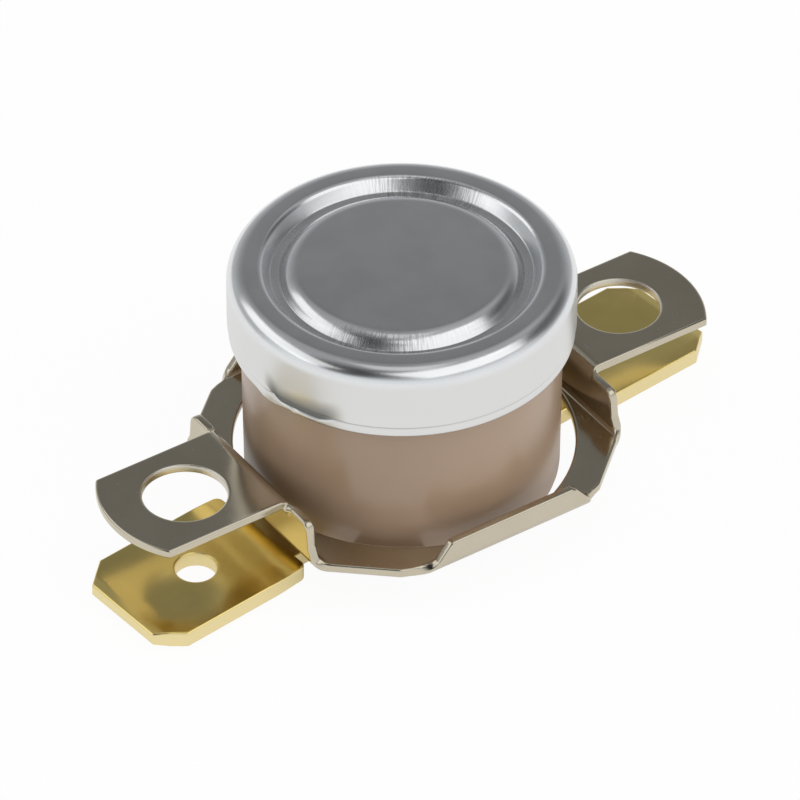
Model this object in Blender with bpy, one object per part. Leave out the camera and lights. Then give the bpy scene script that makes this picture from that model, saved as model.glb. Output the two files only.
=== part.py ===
"""A 1/2 inch snap disc thermostat with a loose mounting bracket, built from its real pieces.

It stands cap up on the heads of its two rivets. +Z runs up the cap's axis, the terminals lie along X,
and the origin is on the axis at the lowest point. Lengths are in metres.
"""

import math

import bmesh
import bpy

MM = 0.001

# Gap between pieces that touch, slide or are riveted together
CLEARANCE = 0.1 * MM

# Hollow rivets through terminal, housing floor and contact strip
RIVET_SHANK_RADIUS = 1.1 * MM
RIVET_BORE_RADIUS = 0.6 * MM
RIVET_HEAD_RADIUS = 1.9 * MM
RIVET_HEAD_HEIGHT = 0.5 * MM
RIVET_ROLL_RADIUS = 1.3 * MM
RIVET_ROLL_HEIGHT = 0.3 * MM

# Tab terminals, 6.3 x 0.8 mm
TAB_WIDTH = 6.3 * MM
TAB_THICKNESS = 0.8 * MM
TAB_LENGTH = 8.15 * MM
TAB_CORNER_ALONG = 1.15 * MM
TAB_CORNER_ACROSS = 1.0 * MM
TAB_BEVEL_LENGTH = 0.6 * MM
TAB_BEVEL_DEPTH = 0.2 * MM
TAB_HOLE_RADIUS = 0.95 * MM
TAB_HOLE_FROM_TIP = 4.26 * MM
NECK_WIDTH = 4.7 * MM
NECK_REACH = 0.95 * MM
NECK_PAST_RIVET = 2.0 * MM
NECK_END_ROUNDING = 0.8 * MM
SHOULDER_ROUNDING = 0.3 * MM

# Moulded housing
HOUSING_RADIUS = 7.3 * MM
HOUSING_WALL = 1.2 * MM
HOUSING_FLOOR = 1.5 * MM
HOUSING_HEIGHT = 8.3 * MM
HOUSING_FOOT = 0.75 * MM
HOUSING_EDGE = 0.2 * MM
HOUSING_DRAFT = 0.1 * MM
COLLAR_REACH = 0.15 * MM
COLLAR_HEIGHT = 0.35 * MM
NIB_REACH = 0.95 * MM
NIB_WIDTH = 3.2 * MM
NIB_HEIGHT = 0.5 * MM
NIB_DIRECTIONS = (math.radians(45), math.radians(225))

# Ring plate that seats the bimetal disc and guides the pin
GUIDE_SEAT_HEIGHT = 1.15 * MM
GUIDE_RECESS_HEIGHT = 0.6 * MM
GUIDE_RIM_HEIGHT = 1.6 * MM
GUIDE_SEAT_WIDTH = 0.4 * MM
GUIDE_RIM_WIDTH = 1.05 * MM
GUIDE_BOSS_RADIUS = 2.2 * MM
GUIDE_BOSS_LENGTH = 1.5 * MM

# Bimetal disc, domed up while it is cold
DISC_THICKNESS = 0.2 * MM
DISC_DOME = 0.3 * MM
DISC_ROOM = 0.2 * MM

# Drawn cap
CAP_WALL = 0.35 * MM
CAP_CORNER = 0.9 * MM
CAP_LIP_LENGTH = 0.53 * MM
CAP_LIP_TUCK = 0.09 * MM
CAP_STEP = 0.07 * MM
CAP_RIM_WIDTH = 0.54 * MM
GROOVE_WIDTH = 1.81 * MM
GROOVE_DEPTH = 0.6 * MM

# Pin between disc and contact arm
PIN_RADIUS = 0.95 * MM
PIN_EDGE = 0.15 * MM
PIN_FREE_PLAY = 0.2 * MM

# Contact arm, contacts and fixed strip
ARM_THICKNESS = 0.25 * MM
ARM_WIDTH = 3.0 * MM
ARM_BEND_RADIUS = 0.4 * MM
ARM_PAD_END = 1.5 * MM
ARM_RISE_TO_PIN = 0.7 * MM
ARM_RISE_TO_TIP = 1.0 * MM
ARM_FLAT_AT_PIN = 1.8 * MM
ARM_TIP_PAST_CONTACT = 0.9 * MM
CONTACT_RADIUS = 0.9 * MM
CONTACT_HEIGHT = 0.5 * MM
CONTACT_EDGE = 0.15 * MM
STRIP_THICKNESS = 0.4 * MM
STRIP_WIDTH = 2.8 * MM
STRIP_BEND_RADIUS = 0.5 * MM
STRIP_TO_WALL = 0.3 * MM

# Loose bracket, folded from one sheet
SHEET = 0.45 * MM
RING_PLAY = 0.5 * MM
WALL_WEB = 0.7 * MM
FLANGE_WEB = 0.75 * MM
WALL_BEND_RADIUS = 0.45 * MM
FLANGE_BEND_RADIUS = 0.35 * MM
RING_CORNER_ALONG = 5.0 * MM
RING_CORNER_ACROSS = 5.2 * MM
WALL_CORNER = 1.3 * MM
FLANGE_HEIGHT = 1.53 * MM
FLANGE_TOP = 6.6 * MM
EAR_RISE = 2.22 * MM
EAR_WIDTH = 6.1 * MM
EAR_ROOT_FILLET = 0.6 * MM
EAR_PAST_HOLE = 2.8 * MM
EAR_ARC_RISE = 1.0 * MM
EAR_HOLE_PITCH = 23.8 * MM
EAR_HOLE_RADIUS = 1.93 * MM
BRACKET_TURN = math.radians(-6)
BRACKET_DRIFT_X = 0.05 * MM
BRACKET_DRIFT_Y = -0.1 * MM

# Roundness
ROUND_STEPS = 72
SMALL_STEPS = 32
BEND_STEPS = 4

# Places of the rivets and contacts, as shares of the housing's radius
RIVET_SHARE = 0.534
CONTACT_SHARE = 0.425

# Levels, worked out from the stack
TAB_Z = RIVET_HEAD_HEIGHT + CLEARANCE
HOUSING_Z = TAB_Z + TAB_THICKNESS + CLEARANCE
PAD_Z = HOUSING_Z + HOUSING_FLOOR + CLEARANCE
FOOT_Z = HOUSING_Z - HOUSING_FOOT
RIM_Z = HOUSING_Z + HOUSING_HEIGHT
COLLAR_Z = RIM_Z - COLLAR_HEIGHT
LIP_Z = COLLAR_Z - CAP_LIP_LENGTH
GUIDE_Z = RIM_Z + CLEARANCE
DISC_Z = GUIDE_Z + GUIDE_SEAT_HEIGHT + CLEARANCE
BRACKET_Z = HOUSING_Z + NIB_HEIGHT + CLEARANCE

# Radii and places, worked out from the housing
RIVET_X = HOUSING_RADIUS * RIVET_SHARE
CONTACT_X = HOUSING_RADIUS * CONTACT_SHARE
STRIP_WALL_X = HOUSING_RADIUS - HOUSING_WALL - STRIP_TO_WALL - STRIP_THICKNESS / 2
COLLAR_RADIUS = HOUSING_RADIUS + COLLAR_REACH
CAP_INNER_RADIUS = COLLAR_RADIUS + CLEARANCE
CAP_RADIUS = CAP_INNER_RADIUS + CAP_WALL
DISC_RADIUS = CAP_INNER_RADIUS - GUIDE_RIM_WIDTH - 2 * CLEARANCE
GROOVE_OUTER_RADIUS = CAP_RADIUS - CAP_CORNER - CAP_RIM_WIDTH
GROOVE_INNER_RADIUS = GROOVE_OUTER_RADIUS - GROOVE_WIDTH
RING_HOLE_RADIUS = HOUSING_RADIUS + RING_PLAY
WALL_REACH = RING_HOLE_RADIUS + WALL_WEB
FLANGE_REACH = RING_HOLE_RADIUS + FLANGE_WEB
SHOULDER_X = HOUSING_RADIUS + NECK_REACH
TIP_X = SHOULDER_X + TAB_LENGTH
GROOVE_RADIUS = (GROOVE_INNER_RADIUS + GROOVE_OUTER_RADIUS) / 2
DISC_RISE_AT_GROOVE = DISC_DOME * (1 - (GROOVE_RADIUS / DISC_RADIUS) ** 2)
CAP_TOP_Z = DISC_Z + DISC_THICKNESS + DISC_RISE_AT_GROOVE + DISC_ROOM + CAP_WALL + GROOVE_DEPTH


def clear_scene():
    for old in list(bpy.data.objects):
        bpy.data.objects.remove(old)


def finish(name, color, metallic, roughness):
    """A plain material of one colour, roughness and metallic value."""
    material = bpy.data.materials.new(name)
    material.use_nodes = True
    shader = material.node_tree.nodes["Principled BSDF"]
    shader.inputs["Base Color"].default_value = (*color, 1)
    shader.inputs["Metallic"].default_value = metallic
    shader.inputs["Roughness"].default_value = roughness
    return material


def arc(centre, radius, start, end, steps):
    """Points along a circle, from one angle in degrees to another."""
    angles = [math.radians(start + (end - start) * i / steps) for i in range(steps + 1)]
    return [(centre[0] + radius * math.cos(a), centre[1] + radius * math.sin(a)) for a in angles]


def circle(centre, radius, steps):
    return arc(centre, radius, 0, 360, steps)[:-1]


def mirrored(half):
    """A closed outline from its half above the first axis, which runs from one end of that axis to the other."""
    return half + [(x, -y) for x, y in reversed(half) if abs(y) > 1e-9]


def new_object(name, bm, material, smooth_angle=30):
    bmesh.ops.remove_doubles(bm, verts=bm.verts, dist=1e-8)
    bmesh.ops.recalc_face_normals(bm, faces=bm.faces)
    mesh = bpy.data.meshes.new(name)
    bm.to_mesh(mesh)
    bm.free()
    mesh.shade_smooth()
    mesh.set_sharp_from_angle(angle=math.radians(smooth_angle))
    piece = bpy.data.objects.new(name, mesh)
    piece.data.materials.append(material)
    bpy.context.scene.collection.objects.link(piece)
    return piece


def turned(name, profile, steps, material, closed=True):
    """A solid of revolution about Z from (radius, height) points: a loop, or a line from axis to axis."""
    bm = bmesh.new()
    points = [bm.verts.new((radius, 0, height)) for radius, height in profile]
    pairs = list(zip(points, points[1:]))
    if closed:
        pairs.append((points[-1], points[0]))
    edges = [bm.edges.new(pair) for pair in pairs]
    bmesh.ops.spin(
        bm, geom=points + edges, cent=(0, 0, 0), axis=(0, 0, 1), angle=math.tau, steps=steps, use_merge=True
    )
    return new_object(name, bm, material)


def loop_of(bm, points):
    corners = [bm.verts.new((x, y, 0)) for x, y in points]
    return [bm.edges.new((a, b)) for a, b in zip(corners, corners[1:] + corners[:1])]


def plate(name, outline, holes, thickness, material, shape, lines_x=(), lines_y=()):
    """A cut sheet, folded: shape turns (along, across, height over the middle) of the flat sheet into a place.

    The flat sheet is split along lines_x and lines_y, so that it can bend there.
    """
    bm = bmesh.new()
    edges = loop_of(bm, outline)
    for hole in holes:
        edges += loop_of(bm, hole)
    bmesh.ops.triangle_fill(bm, edges=edges, use_beauty=True)
    for normal, lines in (((1, 0, 0), lines_x), ((0, 1, 0), lines_y)):
        for line in lines:
            place = [line * n for n in normal]
            every = bm.verts[:] + bm.edges[:] + bm.faces[:]
            bmesh.ops.bisect_plane(bm, geom=every, dist=1e-9, plane_co=place, plane_no=normal)
    lower = bm.verts[:]
    grown = bmesh.ops.extrude_face_region(bm, geom=bm.faces[:])
    upper = {v for v in grown["geom"] if isinstance(v, bmesh.types.BMVert)}
    lower = [v for v in lower if v.is_valid]
    for vert in [*lower, *upper]:
        over = thickness / 2 if vert in upper else -thickness / 2
        vert.co = shape(vert.co.x, vert.co.y, over)
    return new_object(name, bm, material)


def along_fold(length, over, bends):
    """(forward, up) of a point of a sheet folded at bends of (start, middle radius, angle), from a flat start."""
    forward = up = heading = done = 0.0
    for start, radius, angle in bends:
        if length <= start:
            break
        forward += (start - done) * math.cos(heading)
        up += (start - done) * math.sin(heading)
        turned_by = math.copysign(min((length - start) / radius, abs(angle)), angle)
        side = math.copysign(radius, angle)
        forward += side * (math.sin(heading + turned_by) - math.sin(heading))
        up -= side * (math.cos(heading + turned_by) - math.cos(heading))
        heading += turned_by
        done = start + abs(turned_by) * radius
    forward += (length - done) * math.cos(heading) - over * math.sin(heading)
    up += (length - done) * math.sin(heading) + over * math.cos(heading)
    return forward, up


def bend_lines(bends):
    """Where a flat sheet is split so that each bend turns in BEND_STEPS even steps."""
    lines = []
    for start, radius, angle in bends:
        lines += [start + radius * abs(angle) * i / BEND_STEPS for i in range(BEND_STEPS + 1)]
    return lines


def combine(piece, tool, operation):
    """Cuts or joins piece with tool, which then only guides the cut."""
    change = piece.modifiers.new(tool.name, "BOOLEAN")
    change.operation = operation
    change.solver = "EXACT"
    change.object = tool
    tool.hide_render = True
    tool.display_type = "WIRE"
    tool.parent = piece


def cap_top(radius):
    """Height of the cap's upper face, with the ring groove."""
    across = (radius - GROOVE_INNER_RADIUS) / (GROOVE_OUTER_RADIUS - GROOVE_INNER_RADIUS)
    if not 0 < across < 1:
        return CAP_TOP_Z
    return CAP_TOP_Z - GROOVE_DEPTH * math.sin(math.pi * across) ** 2


def make_cap(material):
    groove = GROOVE_OUTER_RADIUS - GROOVE_INNER_RADIUS
    radii = [0.0] + [GROOVE_INNER_RADIUS + groove * i / 10 for i in range(11)]
    corner = (CAP_RADIUS - CAP_CORNER, CAP_TOP_Z - CAP_CORNER)
    outer = [(radius, cap_top(radius)) for radius in radii]
    outer += arc(corner, CAP_CORNER, 90, 0, 5)
    outer += [
        (CAP_RADIUS, COLLAR_Z),
        (CAP_RADIUS - CAP_STEP, COLLAR_Z - CAP_STEP),
        (CAP_RADIUS - CAP_STEP, LIP_Z + CAP_WALL / 2),
        (CAP_RADIUS - CAP_LIP_TUCK, LIP_Z),
    ]
    inner = [(CAP_INNER_RADIUS - CAP_LIP_TUCK, LIP_Z), (CAP_INNER_RADIUS, COLLAR_Z)]
    inner += arc(corner, CAP_CORNER - CAP_WALL, 0, 90, 4)
    inner += [(radius, cap_top(radius) - CAP_WALL) for radius in reversed(radii)]
    return turned("sensing_cap", outer + inner, ROUND_STEPS, material, closed=False)


def make_disc(material):
    steps = 6
    radii = [DISC_RADIUS * i / steps for i in range(steps + 1)]
    rise = [DISC_DOME * (1 - (radius / DISC_RADIUS) ** 2) for radius in radii]
    lower = [(radius, DISC_Z + up) for radius, up in zip(radii, rise)]
    upper = [(radius, height + DISC_THICKNESS) for radius, height in reversed(lower)]
    return turned("bimetal_disc", lower + upper, SMALL_STEPS, material, closed=False)


def make_guide(material):
    bore = PIN_RADIUS + CLEARANCE
    seat_outer = DISC_RADIUS + CLEARANCE
    seat_inner = DISC_RADIUS - GUIDE_SEAT_WIDTH
    outer = CAP_INNER_RADIUS - CLEARANCE
    profile = [
        (bore, GUIDE_Z + GUIDE_RECESS_HEIGHT),
        (seat_inner, GUIDE_Z + GUIDE_RECESS_HEIGHT),
        (seat_inner, GUIDE_Z + GUIDE_SEAT_HEIGHT),
        (seat_outer, GUIDE_Z + GUIDE_SEAT_HEIGHT),
        (seat_outer, GUIDE_Z + GUIDE_RIM_HEIGHT),
        (outer, GUIDE_Z + GUIDE_RIM_HEIGHT),
        (outer, GUIDE_Z),
        (GUIDE_BOSS_RADIUS, GUIDE_Z),
        (GUIDE_BOSS_RADIUS, GUIDE_Z - GUIDE_BOSS_LENGTH),
        (bore, GUIDE_Z - GUIDE_BOSS_LENGTH),
    ]
    return turned("disc_guide", profile, SMALL_STEPS, material)


def make_nib(name, direction, material):
    """A block at the foot of the housing that carries the loose bracket."""
    bm = bmesh.new()
    inner = HOUSING_RADIUS - HOUSING_WALL / 2
    outer = HOUSING_RADIUS + NIB_REACH
    bmesh.ops.create_cube(bm, size=1)
    for vert in bm.verts:
        vert.co.x = inner if vert.co.x < 0 else outer
        vert.co.y *= NIB_WIDTH
        vert.co.z = HOUSING_Z + (0 if vert.co.z < 0 else NIB_HEIGHT)
    nib = new_object(name, bm, material)
    nib.rotation_euler.z = direction
    return nib


def make_slot(name, side, material):
    """The recess in the housing's foot where a terminal's neck lies."""
    bm = bmesh.new()
    inner = RIVET_X - NECK_PAST_RIVET - CLEARANCE
    bmesh.ops.create_cube(bm, size=1)
    for vert in bm.verts:
        vert.co.x = side * (inner if vert.co.x < 0 else SHOULDER_X)
        vert.co.y *= NECK_WIDTH + 2 * CLEARANCE
        vert.co.z = FOOT_Z - HOUSING_EDGE if vert.co.z < 0 else HOUSING_Z
    return new_object(name, bm, material)


def make_housing(material):
    inner = HOUSING_RADIUS - HOUSING_WALL
    foot = HOUSING_RADIUS - HOUSING_DRAFT
    profile = [
        (0, HOUSING_Z + HOUSING_FLOOR),
        (inner, HOUSING_Z + HOUSING_FLOOR),
        (inner, RIM_Z),
        (COLLAR_RADIUS, RIM_Z),
        (COLLAR_RADIUS, COLLAR_Z + CLEARANCE),
        (HOUSING_RADIUS, COLLAR_Z + CLEARANCE),
        (foot, FOOT_Z + HOUSING_EDGE),
        (foot - HOUSING_EDGE, FOOT_Z),
        (0, FOOT_Z),
    ]
    housing = turned("base_housing", profile, ROUND_STEPS, material, closed=False)
    for number, direction in enumerate(NIB_DIRECTIONS):
        combine(housing, make_nib(f"nib_{number}", direction, material), "UNION")
    for number, side in enumerate((-1, 1)):
        combine(housing, make_slot(f"neck_slot_{number}", side, material), "DIFFERENCE")
        hole = [(0, TAB_Z), (RIVET_SHANK_RADIUS + CLEARANCE, TAB_Z)]
        hole += [(radius, PAD_Z + HOUSING_FLOOR) for radius, _ in reversed(hole)]
        tool = turned(f"rivet_hole_{number}", hole[::-1], SMALL_STEPS, material, closed=False)
        combine(housing, tool, "DIFFERENCE")
        tool.location.x = side * RIVET_X
    return housing


def terminal_outline():
    """Outline of the right terminal, from its rounded inner end to the chamfered tip."""
    half_neck, half_tab = NECK_WIDTH / 2, TAB_WIDTH / 2
    start = RIVET_X - NECK_PAST_RIVET
    rounding = NECK_END_ROUNDING
    half = arc((start + rounding, half_neck - rounding), rounding, 180, 90, 4)
    half += [(SHOULDER_X, half_neck)]
    half += arc((SHOULDER_X + SHOULDER_ROUNDING, half_tab - SHOULDER_ROUNDING), SHOULDER_ROUNDING, 180, 90, 4)
    half += [(TIP_X - TAB_CORNER_ALONG, half_tab), (TIP_X, half_tab - TAB_CORNER_ACROSS)]
    return mirrored(half)


def make_terminal(name, side, material):
    bevel_x = TIP_X - TAB_BEVEL_LENGTH

    def shape(along, across, over):
        into_bevel = max(0, along - bevel_x) / TAB_BEVEL_LENGTH
        over -= math.copysign(TAB_BEVEL_DEPTH * into_bevel, over)
        return side * along, across, TAB_Z + TAB_THICKNESS / 2 + over

    holes = [
        circle((RIVET_X, 0), RIVET_SHANK_RADIUS + CLEARANCE, 24),
        circle((TIP_X - TAB_HOLE_FROM_TIP, 0), TAB_HOLE_RADIUS, SMALL_STEPS),
    ]
    return plate(name, terminal_outline(), holes, TAB_THICKNESS, material, shape, lines_x=[bevel_x])


def make_rivet(name, side, strip_thickness, material):
    """A hollow rivet: a factory head below, a rolled head over the strip, and a bore right through."""
    roll_z = PAD_Z + strip_thickness + CLEARANCE
    top = roll_z + RIVET_ROLL_HEIGHT
    profile = [
        (RIVET_BORE_RADIUS, top),
        (RIVET_ROLL_RADIUS - RIVET_ROLL_HEIGHT / 2, top),
        (RIVET_ROLL_RADIUS, roll_z + RIVET_ROLL_HEIGHT / 2),
        (RIVET_ROLL_RADIUS, roll_z),
        (RIVET_SHANK_RADIUS, roll_z),
        (RIVET_SHANK_RADIUS, RIVET_HEAD_HEIGHT),
        (RIVET_HEAD_RADIUS, RIVET_HEAD_HEIGHT),
        (RIVET_HEAD_RADIUS, RIVET_HEAD_HEIGHT / 2),
        (RIVET_HEAD_RADIUS - RIVET_HEAD_HEIGHT / 2, 0),
        (RIVET_BORE_RADIUS, 0),
    ]
    rivet = turned(name, profile, SMALL_STEPS, material)
    rivet.location.x = side * RIVET_X
    return rivet


def arm_bends():
    """Two joggles: up to the flat under the pin, and up again to the tip. Lengths start at the rivet."""
    first_run = RIVET_X - ARM_FLAT_AT_PIN / 2 - ARM_PAD_END
    second_run = CONTACT_X - CONTACT_RADIUS - ARM_FLAT_AT_PIN / 2
    bends, start = [], ARM_PAD_END
    for run, rise in ((first_run, ARM_RISE_TO_PIN), (second_run, ARM_RISE_TO_TIP)):
        slope, straight = joggle(run, rise, ARM_BEND_RADIUS)
        bends.append((start, ARM_BEND_RADIUS, slope))
        start += slope * ARM_BEND_RADIUS + straight
        bends.append((start, ARM_BEND_RADIUS, -slope))
        start += slope * ARM_BEND_RADIUS + ARM_FLAT_AT_PIN
    return bends


def joggle(run, rise, radius):
    """(angle, straight length) of a ramp of this run and rise with a bend of this radius at each end."""
    angle = 2 * math.atan((run - math.sqrt(max(run**2 - rise * (4 * radius - rise), 0))) / (4 * radius - rise))
    straight = (rise - 2 * radius * (1 - math.cos(angle))) / math.sin(angle)
    return angle, straight


def make_arm(material):
    bends = arm_bends()
    last = bends[-1][0] + ARM_BEND_RADIUS * abs(bends[-1][2])
    tip = last + CONTACT_RADIUS + ARM_TIP_PAST_CONTACT
    half = ARM_WIDTH / 2
    outline = arc((0, 0), half, 270, 90, 12) + [(tip, half), (tip, -half)]

    def shape(along, across, over):
        forward, up = along_fold(along, over, bends)
        return forward - RIVET_X, across, PAD_Z + ARM_THICKNESS / 2 + up

    hole = circle((0, 0), RIVET_SHANK_RADIUS + CLEARANCE, 24)
    return plate("contact_arm", outline, [hole], ARM_THICKNESS, material, shape, lines_x=bend_lines(bends))


def arm_top(rise):
    return PAD_Z + ARM_THICKNESS + rise


def make_pin(material):
    bottom = arm_top(ARM_RISE_TO_PIN) + CLEARANCE
    top = DISC_Z + DISC_DOME - PIN_FREE_PLAY
    profile = [
        (0, top - bottom),
        (PIN_RADIUS - PIN_EDGE, top - bottom),
        (PIN_RADIUS, top - bottom - PIN_EDGE),
        (PIN_RADIUS, PIN_EDGE),
        (PIN_RADIUS - PIN_EDGE, 0),
        (0, 0),
    ]
    pin = turned("transfer_pin", profile, 24, material, closed=False)
    pin.location.z = bottom
    return pin


def make_contact(name, bottom, face_up, material):
    """A button whose working face has a rounded edge."""
    profile = [
        (0, CONTACT_HEIGHT),
        (CONTACT_RADIUS - CONTACT_EDGE, CONTACT_HEIGHT),
        (CONTACT_RADIUS, CONTACT_HEIGHT - CONTACT_EDGE),
        (CONTACT_RADIUS, 0),
        (0, 0),
    ]
    if not face_up:
        profile = [(radius, CONTACT_HEIGHT - height) for radius, height in reversed(profile)]
    contact = turned(name, profile, 24, material, closed=False)
    contact.location = (CONTACT_X, 0, bottom)
    return contact


def make_contacts(material):
    moving_z = arm_top(ARM_RISE_TO_PIN + ARM_RISE_TO_TIP) + CLEARANCE
    fixed_z = moving_z + CONTACT_HEIGHT + CLEARANCE
    moving = make_contact("moving_contact", moving_z, True, material)
    fixed = make_contact("fixed_contact", fixed_z, False, material)
    return moving, fixed, fixed_z + CONTACT_HEIGHT + CLEARANCE


def make_strip(bar_z, material):
    """The fixed strip: a pad on the floor, a riser near the wall and a bar back over the contact."""
    radius = STRIP_BEND_RADIUS
    quarter = radius * math.pi / 2
    to_riser = STRIP_WALL_X - radius - RIVET_X
    riser = bar_z - PAD_Z - 2 * radius
    bends = [(to_riser, radius, math.pi / 2), (to_riser + quarter + riser, radius, math.pi / 2)]
    end = to_riser + riser + 2 * quarter + STRIP_WALL_X - radius - CONTACT_X + CONTACT_RADIUS
    half = STRIP_WIDTH / 2
    outline = arc((0, 0), half, 270, 90, 12) + [(end, half), (end, -half)]

    def shape(along, across, over):
        forward, up = along_fold(along, over, bends)
        return forward + RIVET_X, across, PAD_Z + STRIP_THICKNESS / 2 + up

    hole = circle((0, 0), RIVET_SHANK_RADIUS + CLEARANCE, 24)
    lines = bend_lines(bends)
    return plate("fixed_contact_strip", outline, [hole], STRIP_THICKNESS, material, shape, lines_x=lines)


def wall_bends():
    """Up from the ring and out again into the ear, as lengths from the bracket's axis."""
    radius = WALL_BEND_RADIUS
    start = WALL_REACH - SHEET / 2 - radius
    quarter = radius * math.pi / 2
    return [(start, radius, math.pi / 2), (start + quarter + EAR_RISE - 2 * radius, radius, -math.pi / 2)]


def flange_bends():
    radius = FLANGE_BEND_RADIUS
    return [(FLANGE_REACH - SHEET / 2 - radius, radius, math.pi / 2)]


def bracket_outline():
    """The flat blank. One quarter runs from the ear's tip round to the flange's middle."""
    walls = wall_bends()
    spare = sum(radius * abs(angle) for _, radius, angle in walls) + EAR_RISE - 4 * WALL_BEND_RADIUS
    ear_start = walls[1][0] + WALL_BEND_RADIUS * math.pi / 2
    ear_corner = EAR_HOLE_PITCH / 2 + EAR_PAST_HOLE + spare
    half_ear = EAR_WIDTH / 2
    arc_radius = (half_ear**2 + EAR_ARC_RISE**2) / (2 * EAR_ARC_RISE)
    arc_centre = ear_corner + EAR_ARC_RISE - arc_radius
    arc_angle = math.degrees(math.asin(half_ear / arc_radius))
    fillet = (ear_start + EAR_ROOT_FILLET, half_ear + EAR_ROOT_FILLET)
    shoulder = (ear_start - WALL_CORNER, RING_CORNER_ACROSS - WALL_CORNER)
    flange_start = flange_bends()[0][0]
    flange_end = flange_start + FLANGE_BEND_RADIUS * (math.pi / 2 - 1) + FLANGE_HEIGHT - SHEET / 2
    quarter = arc((arc_centre, 0), arc_radius, 0, arc_angle, 8)
    quarter += arc(fillet, EAR_ROOT_FILLET, 270, 180, 4)
    quarter += arc(shoulder, WALL_CORNER, 0, 90, 5)
    quarter += [(WALL_REACH - SHEET / 2, RING_CORNER_ACROSS), (RING_CORNER_ALONG, flange_start + SHEET / 2)]
    quarter += [(FLANGE_TOP / 2, flange_end)]
    upper = quarter + [(-x, y) for x, y in reversed(quarter)]
    return mirrored(upper), spare


def make_bracket(material):
    outline, spare = bracket_outline()
    hole_x = EAR_HOLE_PITCH / 2 + spare
    walls, flanges = wall_bends(), flange_bends()

    def shape(along, across, over):
        if abs(across) > flanges[0][0]:
            forward, up = along_fold(abs(across), over, flanges)
            return along, math.copysign(forward, across), SHEET / 2 + up
        forward, up = along_fold(abs(along), over, walls)
        return math.copysign(forward, along), across, SHEET / 2 + up

    holes = [circle((0, 0), RING_HOLE_RADIUS, ROUND_STEPS)]
    holes += [circle((side * hole_x, 0), EAR_HOLE_RADIUS, SMALL_STEPS) for side in (-1, 1)]
    lines_x = [side * line for side in (-1, 1) for line in bend_lines(walls)]
    lines_y = [side * line for side in (-1, 1) for line in bend_lines(flanges)]
    bracket = plate("mounting_bracket", outline, holes, SHEET, material, shape, lines_x, lines_y)
    bracket.location = (BRACKET_DRIFT_X, BRACKET_DRIFT_Y, BRACKET_Z)
    bracket.rotation_euler.z = BRACKET_TURN
    return bracket


def main():
    clear_scene()
    aluminium = finish("drawn aluminium", (0.70, 0.71, 0.72), 1.0, 0.32)
    moulding = finish("brown moulding", (0.27, 0.19, 0.14), 0.0, 0.38)
    nickel = finish("nickel plated steel", (0.42, 0.40, 0.37), 1.0, 0.25)
    brass = finish("brass", (0.80, 0.62, 0.30), 1.0, 0.28)
    bimetal = finish("bimetal", (0.55, 0.50, 0.44), 1.0, 0.4)
    ceramic = finish("white ceramic", (0.82, 0.80, 0.75), 0.0, 0.5)
    spring = finish("spring bronze", (0.72, 0.45, 0.28), 1.0, 0.3)
    silver = finish("silver", (0.85, 0.84, 0.81), 1.0, 0.25)
    phenolic = finish("dark moulding", (0.09, 0.07, 0.06), 0.0, 0.5)

    moving, fixed, bar_z = make_contacts(silver)
    pieces = [
        make_cap(aluminium),
        make_disc(bimetal),
        make_guide(phenolic),
        make_pin(ceramic),
        make_housing(moulding),
        make_arm(spring),
        moving,
        fixed,
        make_strip(bar_z, brass),
        make_terminal("terminal_left", -1, brass),
        make_terminal("terminal_right", 1, brass),
        make_rivet("rivet_left", -1, ARM_THICKNESS, brass),
        make_rivet("rivet_right", 1, STRIP_THICKNESS, brass),
        make_bracket(nickel),
    ]
    thermostat = bpy.data.objects.new("thermostat", None)
    bpy.context.scene.collection.objects.link(thermostat)
    for piece in pieces:
        piece.parent = thermostat


main()
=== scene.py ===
import math

import bmesh
import bpy
from mathutils import Matrix, Vector


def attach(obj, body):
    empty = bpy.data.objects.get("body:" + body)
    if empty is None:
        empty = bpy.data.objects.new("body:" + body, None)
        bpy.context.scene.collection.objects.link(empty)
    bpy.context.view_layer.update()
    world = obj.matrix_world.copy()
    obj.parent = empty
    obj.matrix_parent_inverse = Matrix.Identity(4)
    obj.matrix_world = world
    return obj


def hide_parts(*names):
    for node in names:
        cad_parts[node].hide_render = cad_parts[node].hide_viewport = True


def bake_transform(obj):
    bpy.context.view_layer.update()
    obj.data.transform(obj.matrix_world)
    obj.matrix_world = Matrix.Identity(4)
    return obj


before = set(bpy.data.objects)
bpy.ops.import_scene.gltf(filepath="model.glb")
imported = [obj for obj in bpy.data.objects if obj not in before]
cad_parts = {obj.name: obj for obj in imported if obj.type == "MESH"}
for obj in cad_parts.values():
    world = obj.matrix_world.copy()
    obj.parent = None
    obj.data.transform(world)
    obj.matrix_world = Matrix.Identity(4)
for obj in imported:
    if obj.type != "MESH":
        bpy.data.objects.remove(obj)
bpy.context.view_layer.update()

MM = 0.001
scene = bpy.context.scene

# Sizes in millimetres, the same as the solids'
FOOT_Z, SEAT_Z, LIP_Z, COLLAR_Z, RIM_Z, CAP_TOP_Z = 0.75, 1.5, 8.92, 9.45, 9.8, 12.567
BODY_R, BODY_FOOT_R, COLLAR_R, CAVITY_R = 7.3, 7.2, 7.45, 6.1
NIB_REACH, NIB_HALF_WIDTH, NIB_HEIGHT = 8.25, 1.6, 0.5
CAP_R, CAP_INNER_R, CAP_CORNER, CAP_WALL = 7.9, 7.55, 0.9, 0.35
RIVET_X, RIVET_HOLE_R, RIVET_HEAD_R = 3.898, 1.2, 1.9
SHEET, BRACKET_Z, EAR_RISE = 0.45, 2.1, 2.22
WALL_REACH, FLANGE_REACH, FLANGE_HEIGHT, RING_HOLE_R = 8.5, 8.55, 1.53, 7.8
EAR_HOLE_X, EAR_HOLE_R, EAR_HALF_WIDTH = 11.9, 1.93, 3.05
BRACKET_TURN, BRACKET_DRIFT = math.radians(-6), (0.05, -0.1)
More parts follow.
